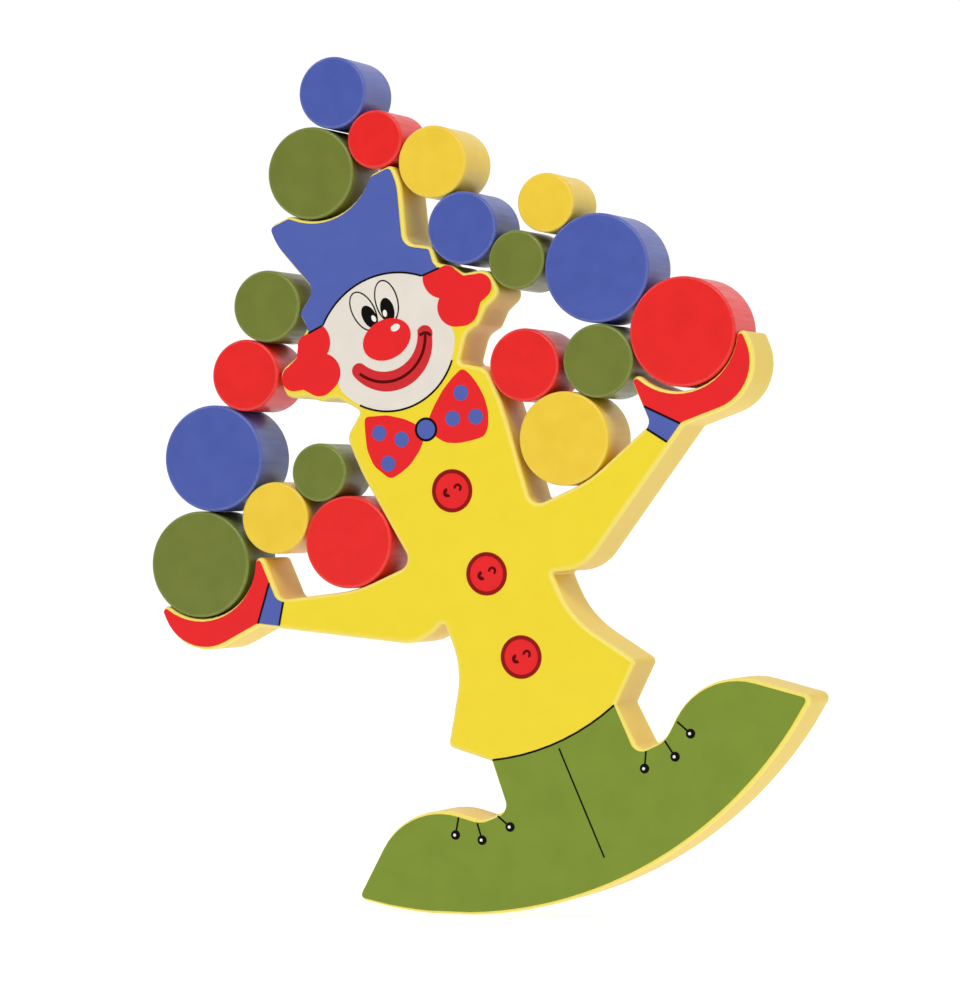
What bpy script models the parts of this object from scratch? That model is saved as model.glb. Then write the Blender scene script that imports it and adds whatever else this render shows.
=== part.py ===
"""Balance game: a clown cut from one board on a rocker sole, with loose cylinders stacked on it."""

import itertools
import math

import bmesh
import bpy
from mathutils import Matrix, Vector

MM = 0.001
COLLECTION_NAME = "balance_game"

# Board and cylinder sizes in millimetres
BOARD_THICKNESS = 24.0
CYLINDER_LENGTH = 24.0
SMALL_DIAMETER = 19.6
MEDIUM_DIAMETER = 24.2
WIDE_DIAMETER = 31.0
LARGE_DIAMETER = 36.0
CLEARANCE = 0.3
BOARD_EDGE_ROUND = 1.5
CYLINDER_EDGE_ROUND = 1.0

# Rocker: the sole is cut in flats, and the figure rests on the one that its tilt makes level
SOLE_RADIUS = 141.0
FLAT_ANGLE = math.radians(6.0)
FLATS_FROM_MIDDLE_TO_REST = 4
REST_TILT = FLAT_ANGLE * FLATS_FROM_MIDDLE_TO_REST

# Half widths of the figure, from its middle line
HAT_HALF_WIDTH = 24.7
BRIM_HALF_WIDTH = 26.4
HAIR_HALF_WIDTH = 42.0
NECK_HALF_WIDTH = 19.2
SHOULDER_HALF_WIDTH = 27.5
WAIST_HALF_WIDTH = 20.8
SKIRT_HALF_WIDTH = 35.9
LEG_HALF_WIDTH = 24.4
TOE_HALF_WIDTH = 86.5

# Height of the figure along its middle line, and the levels on it as shares of that height
FIGURE_HEIGHT = 248.8
ANKLE_SHARE = 0.1459
SKIRT_SHARE = 0.2556
UNDERARM_SHARE = 0.41
ARMPIT_SHARE = 0.4984
NECK_SHARE = 0.7162
BRIM_SHARE = 0.8509
SHOE_RISE = 17.2

# Hollow of the hat, an arc in the outline
HOLLOW_RADIUS = 21.0
HOLLOW_DEPTH = 7.2
HORN_ROUND = 1.8

# Arm, and the cup of the hand, an arc that the large cylinders lie in
CUP_PLAY = 1.7
CUP_OUT = 93.0
CUP_RISE = 12.2
CUP_START = math.radians(206.0)
CUP_END = math.radians(330.0)
HAND_WALL = 11.2
TIP_LAND = 0.4
WRIST_RISE = 8.2
UNDERARM_SAG = 3.9

# Corners of each part: share of the way from its inner to its outer half width, share of the way
# from its lower to its upper edge, and the share of the shorter side beside it that is rounded off
HAT_CORNERS = (
    (1.0, 1.0, 0.33),
    (1.0, 0.803, 0.4),
    (0.745, 0.288, 0.316),
)
BRIM_CORNERS = (
    (1.0, 0.154, 0.22),
    (0.973, 0.0, 0.22),
)
HAIR_CORNERS = (
    (0.482, 0.907, 0.14),
    (0.588, 0.788, 0.27),
    (0.978, 0.722, 0.4),
    (1.0, 0.439, 0.39),
    (0.702, 0.373, 0.11),
    (0.509, 0.257, 0.17),
    (0.281, 0.236, 0.38),
    (0.0, 0.0, 0.17),
)
CHEST_CORNERS = (
    (1.0, 0.893, 0.25),
    (1.007, 0.664, 0.45),
    (0.844, 0.0, 0.21),
)
SKIRT_CORNERS = (
    (0.0, 0.583, 0.61),
    (1.0, 0.0, 0.11),
)
TROUSER_CORNERS = (
    (0.975, 0.623, 0.04),
    (1.025, 0.0, 0.31),
)
SHOE_CORNERS = (
    (0.166, 0.006, 0.28),
    (0.51, 1.0, 0.7),
)
INNER_HORN_ROUND_SHARE = 0.7
ARM_BEND_SHARE = 0.398
ARM_BEND_ROUND_SHARE = 0.3
WRIST_ROUND_SHARE = 0.155
HAND_EDGE_ROUND_SHARE = 0.89
HEEL_PLACE_SHARES = (0.5, 0.19)
HEEL_ROUND_SHARE = 0.025
SAG_PLACE_SHARE = 0.206
SAG_ROUND_SHARE = 0.62
UNDERARM_ROUND_SHARE = 0.125
TOE_ROUND_SHARE = 0.25

# How finely arcs are cut
ARC_STEP = math.radians(15.0)
ARC_SAG = 0.05
CYLINDER_SIDES = 32
BOARD_EDGE_CUT_COUNT = 2
CYLINDER_EDGE_CUT_COUNT = 1
SETTLING_ROUNDS = 150
CLEARING_ROUNDS = 40
SPREADING_ROUNDS = 300
SETTLED = 0.001

PAINTS = {
    "yellow_board": (0.86, 0.66, 0.05, 0.5),
    "red": (0.76, 0.03, 0.03, 0.45),
    "blue": (0.08, 0.12, 0.42, 0.45),
    "green": (0.16, 0.21, 0.03, 0.45),
    "yellow": (0.83, 0.57, 0.05, 0.45),
}

# Cylinders in a hollow of the figure lie to one side of its lowest place, pressed by the others
HAT_LEAN = math.radians(-40.0)
HAND_LEAN = math.radians(50.0)
RIGHT_ARMPIT_PLAY = 1.6

# Each further cylinder: name, paint, diameter, the cylinder it lies on, the bearing in degrees from
# there at which it starts to settle, what it leans on, and how far it stands off that
STACK = [
    ("yellow_cylinder_left_arm", "yellow", MEDIUM_DIAMETER,
     "red_cylinder_left_armpit", 139, "clown_figure", 2.0),
    ("green_cylinder_left_shoulder", "green", SMALL_DIAMETER,
     "yellow_cylinder_left_arm", 21, "red_cylinder_left_armpit", 0.0),
    ("blue_cylinder_left", "blue", LARGE_DIAMETER,
     "green_cylinder_left_hand", 57, "yellow_cylinder_left_arm", 0.0),
    ("red_cylinder_left_hair", "red", MEDIUM_DIAMETER,
     "blue_cylinder_left", 44, "clown_figure", 0.6),
    ("green_cylinder_left_brim", "green", MEDIUM_DIAMETER,
     "red_cylinder_left_hair", 48, "clown_figure", 0.0),
    ("green_cylinder_right_arm", "green", MEDIUM_DIAMETER,
     "red_cylinder_right_hand", 174, "yellow_cylinder_right_armpit", 0.0),
    ("red_cylinder_right_shoulder", "red", MEDIUM_DIAMETER,
     "yellow_cylinder_right_armpit", 93, "clown_figure", 0.0),
    ("blue_cylinder_right", "blue", LARGE_DIAMETER,
     "red_cylinder_right_hand", 120, "green_cylinder_right_arm", 0.0),
    ("green_cylinder_right_hair", "green", SMALL_DIAMETER,
     "blue_cylinder_right", 143, "clown_figure", 0.0),
    ("yellow_cylinder_right", "yellow", SMALL_DIAMETER,
     "blue_cylinder_right", 101, "green_cylinder_right_hair", 1.3),
    ("blue_cylinder_right_brim", "blue", MEDIUM_DIAMETER,
     "green_cylinder_right_hair", 128, "clown_figure", 0.0),
    ("red_cylinder_hat_tip", "red", SMALL_DIAMETER,
     "green_cylinder_in_hat", 3, "clown_figure", 0.0),
    ("yellow_cylinder_right_hat", "yellow", MEDIUM_DIAMETER,
     "blue_cylinder_right_brim", 92, "red_cylinder_hat_tip", 0.0),
    ("blue_cylinder_top", "blue", MEDIUM_DIAMETER,
     "green_cylinder_in_hat", 50, "red_cylinder_hat_tip", 0.0),
]


def along(angle):
    """Unit direction at an angle from the figure's right."""
    return Vector((math.cos(angle), math.sin(angle)))


def arc(centre, radius, start, end):
    """Points of an arc as corners that take no rounding."""
    finest = 2 * math.acos(1 - ARC_SAG / radius)
    steps = math.ceil(abs(end - start) / min(ARC_STEP, finest))
    corners = []
    for index in range(steps + 1):
        point = centre + along(start + (end - start) * index / steps) * radius
        corners.append((point.x, point.y, 0.0))
    return corners


def between(first, last, share):
    """A value some share of the way from the first to the last."""
    return first + (last - first) * share


def rounded_corner(before, corner, after, rounded):
    """Points of the arc that rounds off one corner, over a share of the shorter side beside it."""
    toward_before = (before - corner).normalized()
    toward_after = (after - corner).normalized()
    half_angle = toward_before.angle(toward_after) / 2
    run = min((before - corner).length, (after - corner).length) * rounded
    radius = run * math.tan(half_angle)
    centre = corner + (toward_before + toward_after).normalized() * run / math.cos(half_angle)
    first = corner + toward_before * run - centre
    last = corner + toward_after * run - centre
    start = math.atan2(first.y, first.x)
    sweep = math.remainder(math.atan2(last.y, last.x) - start, math.tau)
    return [Vector(point[:2]) for point in arc(centre, radius, start, start + sweep)]


def rounded_chain(corners):
    """An open chain with every corner rounded by its own share."""
    places = [Vector(corner[:2]) for corner in corners]
    chain = []
    for index, corner in enumerate(corners):
        if corner[2] > 0:
            chain += rounded_corner(places[index - 1], places[index], places[index + 1], corner[2])
        else:
            chain.append(places[index])
    return chain


# Heights above the foot of the sole, and places that follow from the sizes
ankle_height = FIGURE_HEIGHT * ANKLE_SHARE
skirt_height = FIGURE_HEIGHT * SKIRT_SHARE
underarm_height = FIGURE_HEIGHT * UNDERARM_SHARE
armpit_height = FIGURE_HEIGHT * ARMPIT_SHARE
neck_height = FIGURE_HEIGHT * NECK_SHARE
brim_height = FIGURE_HEIGHT * BRIM_SHARE
cup_floor = armpit_height + CUP_RISE
cup_radius = LARGE_DIAMETER / 2 + CUP_PLAY
cup_centre = Vector((CUP_OUT, cup_floor + cup_radius))
hand_floor = cup_floor - HAND_WALL
hollow_centre = Vector((0.0, FIGURE_HEIGHT - HOLLOW_DEPTH + HOLLOW_RADIUS))
hollow_half_width = math.sqrt(HOLLOW_RADIUS ** 2 - (HOLLOW_RADIUS - HOLLOW_DEPTH) ** 2)
hollow_end = -math.acos(hollow_half_width / HOLLOW_RADIUS) - HORN_ROUND / HOLLOW_RADIUS
sole_centre = Vector((0.0, SOLE_RADIUS))
toe_angle = math.asin(TOE_HALF_WIDTH / SOLE_RADIUS)
flats_to_toe = math.floor(toe_angle / FLAT_ANGLE) - 1

# The tips of thumb and finger are round, and each runs smoothly into the cup
tip_radius = BOARD_EDGE_ROUND + TIP_LAND
thumb_tip = cup_centre + along(CUP_START) * (cup_radius + tip_radius)
finger_tip = cup_centre + along(CUP_END) * (cup_radius + tip_radius)
wrist_out = thumb_tip.x - tip_radius
hand_out = finger_tip.x + tip_radius


def placed_corners(shares, inner, outer, lower, upper):
    """Corners of one part of the figure between its half widths and its lower and upper edge."""
    corners = []
    for across, up, rounded in shares:
        corners.append((between(inner, outer, across), between(lower, upper, up), rounded))
    return corners


def hat_corners():
    """From the middle of the hollow over the horn, down to the brim."""
    hollow = arc(hollow_centre, HOLLOW_RADIUS, math.radians(-90.0), hollow_end)
    horn = [(hollow_half_width, FIGURE_HEIGHT, INNER_HORN_ROUND_SHARE)]
    side = placed_corners(HAT_CORNERS, 0.0, HAT_HALF_WIDTH, brim_height, FIGURE_HEIGHT)
    brim = placed_corners(BRIM_CORNERS, 0.0, BRIM_HALF_WIDTH, brim_height, FIGURE_HEIGHT)
    return hollow + horn + side + brim


def head_corners():
    """Tufts of hair at the side of the head, down to the neck."""
    return placed_corners(HAIR_CORNERS, NECK_HALF_WIDTH, HAIR_HALF_WIDTH, neck_height, brim_height)


def chest_corners():
    """Shoulder and side of the coat, down to the armpit."""
    return placed_corners(CHEST_CORNERS, 0.0, SHOULDER_HALF_WIDTH, armpit_height, neck_height)


def arm_corners():
    """Top of the arm from the armpit to the wrist."""
    return [
        (between(SHOULDER_HALF_WIDTH, wrist_out, ARM_BEND_SHARE), armpit_height, ARM_BEND_ROUND_SHARE),
        (wrist_out, armpit_height + WRIST_RISE, WRIST_ROUND_SHARE),
    ]


def hand_corners():
    """Thumb, cup and finger of the hand, and its outer edge, then the under side of the arm."""
    thumb = arc(thumb_tip, tip_radius, math.pi, CUP_START - math.pi)
    cup = arc(cup_centre, cup_radius, CUP_START, CUP_END)
    finger = arc(finger_tip, tip_radius, CUP_END - math.pi, 0.0)
    heel_across, heel_up = HEEL_PLACE_SHARES
    heel_out = between(wrist_out, CUP_OUT, heel_across)
    sag_out = between(WAIST_HALF_WIDTH, wrist_out, SAG_PLACE_SHARE)
    return thumb + cup[1:] + finger[1:] + [
        (hand_out, hand_floor, HAND_EDGE_ROUND_SHARE),
        (heel_out, between(hand_floor, cup_floor, heel_up), HEEL_ROUND_SHARE),
        (sag_out, underarm_height - UNDERARM_SAG, SAG_ROUND_SHARE),
        (WAIST_HALF_WIDTH, underarm_height, UNDERARM_ROUND_SHARE),
    ]


def leg_corners():
    """Coat skirt, trouser leg, shoe and the flats of the sole."""
    skirt = placed_corners(
        SKIRT_CORNERS, WAIST_HALF_WIDTH, SKIRT_HALF_WIDTH, skirt_height, underarm_height)
    trouser = placed_corners(TROUSER_CORNERS, 0.0, LEG_HALF_WIDTH, ankle_height, skirt_height)
    shoe = placed_corners(
        SHOE_CORNERS, LEG_HALF_WIDTH, TOE_HALF_WIDTH, ankle_height, ankle_height + SHOE_RISE)
    sole = []
    toe = sole_centre + along(toe_angle - math.pi / 2) * SOLE_RADIUS
    sole.append((toe.x, toe.y, TOE_ROUND_SHARE))
    for flat in range(flats_to_toe, -1, -1):
        point = sole_centre + along((2 * flat + 1) * FLAT_ANGLE / 2 - math.pi / 2) * SOLE_RADIUS
        sole.append((point.x, point.y, 0.0))
    return skirt + trouser + shoe + sole


def mirrored(points):
    """The same points on the figure's left, in the opposite order."""
    return [Vector((-point.x, point.y)) for point in reversed(points)]


def figure_outline():
    """Closed outline of the whole figure, clockwise from the middle of the hat's hollow."""
    corners = hat_corners() + head_corners() + chest_corners() + arm_corners() + hand_corners()
    right = rounded_chain(corners + leg_corners())
    return right + mirrored(right[1:])


def nearest_on_chain(point, chain):
    """Point of an open chain that lies nearest to a given point."""
    best = chain[0]
    for first, last in zip(chain, chain[1:]):
        span = last - first
        share = max(0.0, min(1.0, (point - first).dot(span) / span.length_squared))
        place = first + span * share
        if (place - point).length < (best - point).length:
            best = place
    return best


def is_inside(point, outline):
    """Whether a point lies inside a closed outline."""
    inside = False
    for first, last in zip(outline, outline[1:] + outline[:1]):
        if (first.y > point.y) != (last.y > point.y):
            if point.x < between(first.x, last.x, (point.y - first.y) / (last.y - first.y)):
                inside = not inside
    return inside


def off_support(centre, radius, support):
    """The place straight out from a support at which a cylinder keeps its clearance from it."""
    nearest, reach, covers = support
    foot = nearest(centre)
    outward = (centre - foot).normalized()
    if covers(centre):
        outward.negate()
    return foot + outward * (radius + reach + CLEARANCE)


def is_crowded(centre, radius, support):
    """Whether a cylinder is nearer to a support than its clearance."""
    nearest, reach, covers = support
    return covers(centre) or (centre - nearest(centre)).length < radius + reach + CLEARANCE


def rest_between(radius, start, supports, others):
    """Centre of a cylinder at the clearance from its two supports and at least that far from all others."""
    centre = start
    for _ in range(SETTLING_ROUNDS):
        for support in supports:
            centre = off_support(centre, radius, support)
    for _ in range(CLEARING_ROUNDS):
        for support in others:
            if is_crowded(centre, radius, support):
                centre = off_support(centre, radius, support)
    return centre


def chain_support(chain, play):
    """A chain of the outline as something to lie on, kept off by some extra play."""
    return (lambda point: nearest_on_chain(point, chain), play, lambda point: False)


def figure_support(outline):
    """The whole figure as something to lie on."""
    chain = outline + outline[:1]
    return (lambda point: nearest_on_chain(point, chain), 0.0, lambda point: is_inside(point, outline))


def cylinder_support(centre, diameter):
    """A cylinder already placed as something to lie on."""
    return (lambda point: centre, diameter / 2, lambda point: False)


def spread_out(placed, figure):
    """The placed cylinders with any that still crowd each other or the figure moved apart."""
    centres = {name: centre for name, (_, _, centre) in placed.items()}
    for _ in range(SPREADING_ROUNDS):
        start = dict(centres)
        for first, second in itertools.combinations(placed, 2):
            reach = (placed[first][1] + placed[second][1]) / 2 + CLEARANCE
            apart = centres[second] - centres[first]
            if apart.length < reach:
                step = apart.normalized() * (reach - apart.length) / 2
                centres[first] = centres[first] - step
                centres[second] = centres[second] + step
        for name, (_, diameter, _) in placed.items():
            if is_crowded(centres[name], diameter / 2, figure):
                centres[name] = off_support(centres[name], diameter / 2, figure)
        if all((centres[name] - start[name]).length < SETTLED for name in placed):
            break
    return {name: (paint, diameter, centres[name]) for name, (paint, diameter, _) in placed.items()}


def in_hollow(centre, hollow_radius, diameter, lean):
    """Centre of a cylinder against the wall of a round hollow, leaning from its lowest place."""
    return centre + along(lean - math.pi / 2) * (hollow_radius - diameter / 2 - CLEARANCE)


def open_ended(corners):
    """The same corners with both ends left sharp."""
    first, *middle, last = corners
    return [(first[0], first[1], 0.0), *middle, (last[0], last[1], 0.0)]


def settled_cylinders(outline):
    """Every cylinder as name, paint, diameter and centre in the figure's own frame."""
    chest_side = rounded_chain(open_ended(chest_corners()))
    arm_top = rounded_chain(open_ended(chest_corners()[-1:] + arm_corners()))
    left_cup_centre = Vector((-cup_centre.x, cup_centre.y))
    hat_place = in_hollow(hollow_centre, HOLLOW_RADIUS, WIDE_DIAMETER, HAT_LEAN)
    right_hand_place = in_hollow(cup_centre, cup_radius, LARGE_DIAMETER, HAND_LEAN)
    left_hand_place = in_hollow(left_cup_centre, cup_radius, LARGE_DIAMETER, -HAND_LEAN)
    start = chest_side[-1] + Vector((WIDE_DIAMETER, WIDE_DIAMETER)) / 2
    armpit_places = []
    for play in (RIGHT_ARMPIT_PLAY, 0.0):
        supports = [chain_support(chest_side, play), chain_support(arm_top, 0.0)]
        armpit_places.append(rest_between(WIDE_DIAMETER / 2, start, supports, []))
    left_armpit_place = Vector((-armpit_places[1].x, armpit_places[1].y))
    placed = {
        "green_cylinder_in_hat": ("green", WIDE_DIAMETER, hat_place),
        "red_cylinder_right_hand": ("red", LARGE_DIAMETER, right_hand_place),
        "green_cylinder_left_hand": ("green", LARGE_DIAMETER, left_hand_place),
        "yellow_cylinder_right_armpit": ("yellow", WIDE_DIAMETER, armpit_places[0]),
        "red_cylinder_left_armpit": ("red", WIDE_DIAMETER, left_armpit_place),
    }
    supports = {"clown_figure": figure_support(outline)}
    for name, (_, diameter, centre) in placed.items():
        supports[name] = cylinder_support(centre, diameter)
    for name, paint, diameter, lies_on, bearing, leans_on, play in STACK:
        _, under_diameter, under = placed[lies_on]
        start = under + along(math.radians(bearing)) * (under_diameter + diameter) / 2
        nearest, reach, covers = supports[leans_on]
        chosen = [supports[lies_on], (nearest, reach + play, covers)]
        centre = rest_between(diameter / 2, start, chosen, supports.values())
        placed[name] = (paint, diameter, centre)
        supports[name] = cylinder_support(centre, diameter)
    return spread_out(placed, supports["clown_figure"])


def inset(outline, distance):
    """A clockwise closed outline moved inwards."""
    moved = []
    for before, point, after in zip(outline[-1:] + outline[:-1], outline, outline[1:] + outline[:1]):
        arriving = (point - before).normalized()
        leaving = (after - point).normalized()
        inward = Vector((arriving.y + leaving.y, -arriving.x - leaving.x)).normalized()
        slant = inward.dot(Vector((arriving.y, -arriving.x)))
        moved.append(point + inward * distance / slant)
    return moved


def edge_profile(thickness, edge_round, cuts):
    """Inset and depth of each row of points from the front face to the back face."""
    rows = []
    for cut in range(cuts + 1):
        turn = math.pi / 2 * cut / cuts
        rows.append((edge_round * (1 - math.sin(turn)), edge_round * (1 - math.cos(turn)) - thickness / 2))
    return rows + [(distance, -depth) for distance, depth in reversed(rows)]


def to_world(point):
    """A point of the figure's own frame, tilted to rest on its level flat, in metres."""
    turned = point - sole_centre
    turned.rotate(Matrix.Rotation(REST_TILT, 2))
    turned.y += SOLE_RADIUS * math.cos(FLAT_ANGLE / 2)
    return turned * MM


def paint_material(paint):
    """A painted-wood material."""
    material = bpy.data.materials.get(paint)
    if material is None:
        red, green, blue, roughness = PAINTS[paint]
        material = bpy.data.materials.new(paint)
        material.use_nodes = True
        shader = material.node_tree.nodes["Principled BSDF"]
        shader.inputs["Base Color"].default_value = (red, green, blue, 1.0)
        shader.inputs["Roughness"].default_value = roughness
        shader.inputs["Metallic"].default_value = 0.0
    return material


def add_prism(collection, name, paint, outlines, depths, place):
    """One closed piece through matching outlines at their depths, with its origin at a place."""
    mesh = bpy.data.meshes.new(name)
    shape = bmesh.new()
    rows = []
    for outline, depth in zip(outlines, depths):
        rows.append([shape.verts.new((point.x, depth * MM, point.y)) for point in outline])
    for row, following in zip(rows, rows[1:]):
        for index in range(len(row)):
            shape.faces.new((row[index - 1], row[index], following[index], following[index - 1]))
    shape.faces.new(rows[0])
    shape.faces.new(rows[-1])
    bmesh.ops.recalc_face_normals(shape, faces=shape.faces)
    shape.to_mesh(mesh)
    shape.free()
    mesh.materials.append(paint_material(paint))
    piece = bpy.data.objects.new(name, mesh)
    piece.location = (place.x, 0.0, place.y)
    collection.objects.link(piece)


def main():
    """Build the figure and its cylinders."""
    for old in list(bpy.data.objects):
        bpy.data.objects.remove(old)
    collection = bpy.data.collections.new(COLLECTION_NAME)
    bpy.context.scene.collection.children.link(collection)

    outline = figure_outline()
    board_rows = edge_profile(BOARD_THICKNESS, BOARD_EDGE_ROUND, BOARD_EDGE_CUT_COUNT)
    board_outlines = []
    for distance, _ in board_rows:
        board_outlines.append([to_world(point) for point in inset(outline, distance)])
    board_depths = [depth for _, depth in board_rows]
    add_prism(collection, "clown_figure", "yellow_board", board_outlines, board_depths, Vector((0.0, 0.0)))

    rim_rows = edge_profile(CYLINDER_LENGTH, CYLINDER_EDGE_ROUND, CYLINDER_EDGE_CUT_COUNT)
    rim_depths = [depth for _, depth in rim_rows]
    for name, (paint, diameter, centre) in settled_cylinders(outline).items():
        rings = []
        for distance, _ in rim_rows:
            radius = (diameter / 2 - distance) * MM
            sides = range(CYLINDER_SIDES)
            rings.append([along(-math.tau * side / CYLINDER_SIDES) * radius for side in sides])
        add_prism(collection, name, paint, rings, rim_depths, to_world(centre))


main()
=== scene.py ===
"""Dresses the balance game: a clown board with its printed figure and a stack of painted cylinders."""

import logging
import math
from dataclasses import dataclass, field
from enum import Enum
from typing import Any, Callable

import bmesh
import bpy
from mathutils import Matrix, Vector
from mathutils.geometry import intersect_line_line_2d


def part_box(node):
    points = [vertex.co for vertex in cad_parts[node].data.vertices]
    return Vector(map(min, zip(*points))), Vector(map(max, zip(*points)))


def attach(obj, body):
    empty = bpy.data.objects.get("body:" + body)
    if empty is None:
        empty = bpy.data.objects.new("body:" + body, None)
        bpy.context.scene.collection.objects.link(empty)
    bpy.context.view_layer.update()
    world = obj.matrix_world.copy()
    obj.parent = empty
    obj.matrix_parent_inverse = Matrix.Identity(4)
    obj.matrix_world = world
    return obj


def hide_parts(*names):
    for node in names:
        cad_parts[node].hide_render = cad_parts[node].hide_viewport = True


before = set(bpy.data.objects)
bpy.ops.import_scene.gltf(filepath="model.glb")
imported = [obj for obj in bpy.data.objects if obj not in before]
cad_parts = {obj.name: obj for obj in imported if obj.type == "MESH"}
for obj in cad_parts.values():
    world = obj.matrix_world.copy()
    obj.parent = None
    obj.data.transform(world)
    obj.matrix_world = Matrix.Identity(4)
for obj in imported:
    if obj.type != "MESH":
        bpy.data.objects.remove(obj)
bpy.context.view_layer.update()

LOG = logging.getLogger("balance_game")
MM = 0.001

# The figure leans to the viewer's left and stands on a short flat of its round sole. Its radius is in mm.
FIGURE_NODE = "clown_figure"
FIGURE_TILT = math.radians(24.0)
SOLE_RADIUS = 141.0
HALF_FLAT = math.radians(3.0)
DOWN = Vector((0.0, 0.0, -1.0))

# The shader's name, the sockets of a Mix node for colours, and the stretch of a noise's values that a colour
# or a gloss is spread over.
SHADER = "Principled BSDF"
MIX_SHARE, MIX_FIRST, MIX_SECOND, MIX_RESULT = 0, 6, 7, 2
COLOUR_SPREAD = (0.35, 0.7)
GLOSS_SPREAD = (0.3, 0.7)

# How many pieces an arc is cut in: one of common length, a long one and the small round end of a band.
ARC_STEPS = 24
LONG_ARC_STEPS = 40
END_STEPS = 8

Point = tuple[float, float]
Place = tuple[float, float, float]


def linear(code: str) -> tuple[float, float, float, float]:
    """Turns an sRGB hex colour into linear light.

    Args:
        code: Six hex digits, two for each of red, green and blue.

    Returns:
        Red, green, blue and an alpha of one.
    """
    channels = []
    for start in (0, 2, 4):
        value = int(code[start:start + 2], 16) / 255
        channels.append(value / 12.92 if value <= 0.04045 else ((value + 0.055) / 1.055) ** 2.4)
    return channels[0], channels[1], channels[2], 1.0


def connect(tree: bpy.types.NodeTree, node: bpy.types.Node, inputs: dict[Any, Any]) -> None:
    """Sets a node's fixed inputs and makes its links.

    Args:
        tree: The material's node tree.
        node: The node.
        inputs: For each socket, a number, colour or vector, or another node's output to link.
    """
    for key, value in inputs.items():
        if isinstance(value, bpy.types.NodeSocket):
            tree.links.new(value, node.inputs[key])
        else:
            node.inputs[key].default_value = value


def add_node(tree: bpy.types.NodeTree, kind: str, inputs: dict[Any, Any], **settings: Any) -> bpy.types.Node:
    """Adds one node to a tree, with its settings, its fixed inputs and its links.

    Args:
        tree: The material's node tree.
        kind: Blender's name for the kind of node.
        inputs: For each socket, a number, colour or vector, or another node's output to link.
        **settings: Properties of the node itself.

    Returns:
        The new node.
    """
    node = tree.nodes.new(kind)
    for name, value in settings.items():
        setattr(node, name, value)
    connect(tree, node, inputs)
    return node


def plain_material(name: str) -> bpy.types.Material:
    """Makes a new material that has only its shader.

    Args:
        name: The material's name.

    Returns:
        The material.
    """
    made = bpy.data.materials.new(name)
    made.use_nodes = True
    return made


def per_metre(size_mm: float) -> float:
    """Texture scale that gives a pattern a real size in millimetres."""
    return 1.0 / (size_mm * MM)


def figure_place() -> Matrix:
    """Where the figure stands: its own flat frame in millimetres to the row frame in metres.

    Returns:
        Matrix that takes sideways, up the figure and towards the viewer to the row frame.
    """
    lean = Matrix.Rotation(-FIGURE_TILT, 4, "Y")
    upright = Matrix(((1, 0, 0, 0), (0, 0, -1, 0), (0, 1, 0, 0), (0, 0, 0, 1)))
    pivot = Matrix.Translation((0.0, 0.0, SOLE_RADIUS * math.cos(HALF_FLAT)))
    down = Matrix.Translation((0.0, 0.0, -SOLE_RADIUS))
    return Matrix.Scale(MM, 4) @ pivot @ lean @ down @ upright


FIGURE_PLACE = figure_place()


class Grain(Enum):
    """Which way the wood's fibres run under the paint."""

    ALONG_DOWEL = "dowel"
    UP_THE_FIGURE = "board"


class InkLayer(Enum):
    """Order in which the inks are printed, the first one lowest."""

    GROUND = 1
    COVER = 2
    LINE = 3
    EYE = 4
    PUPIL = 5
    NOSE = 6
    GLINT = 7


@dataclass(frozen=True)
class Finish:
    """What every finish shares: its name, and a colour that clouds over into a second shade."""

    name: str
    colour: str
    shade: str

    def material(self) -> bpy.types.Material:
        """Builds the finish.

        Returns:
            The material, made once for each name.
        """
        made = bpy.data.materials.get(self.name)
        if made is None:
            made = plain_material(self.name)
            self.mix(made.node_tree)
        return made

    def mix(self, tree: bpy.types.NodeTree) -> None:
        """Adds the nodes of this kind of finish to its material's tree."""
        raise NotImplementedError

    def clouded(self, tree: bpy.types.NodeTree, cloud: bpy.types.NodeSocket) -> bpy.types.NodeSocket:
        """Adds the nodes that spread the two colours over the surface.

        Args:
            tree: The material's node tree.
            cloud: The noise that they follow.

        Returns:
            The colour.
        """
        thin = add_node(tree, "ShaderNodeMapRange", {
            "Value": cloud, "From Min": COLOUR_SPREAD[0], "From Max": COLOUR_SPREAD[1]}).outputs[0]
        return add_node(tree, "ShaderNodeMix", {
            MIX_SHARE: thin, MIX_FIRST: linear(self.colour), MIX_SECOND: linear(self.shade)},
            data_type="RGBA").outputs[MIX_RESULT]


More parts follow.
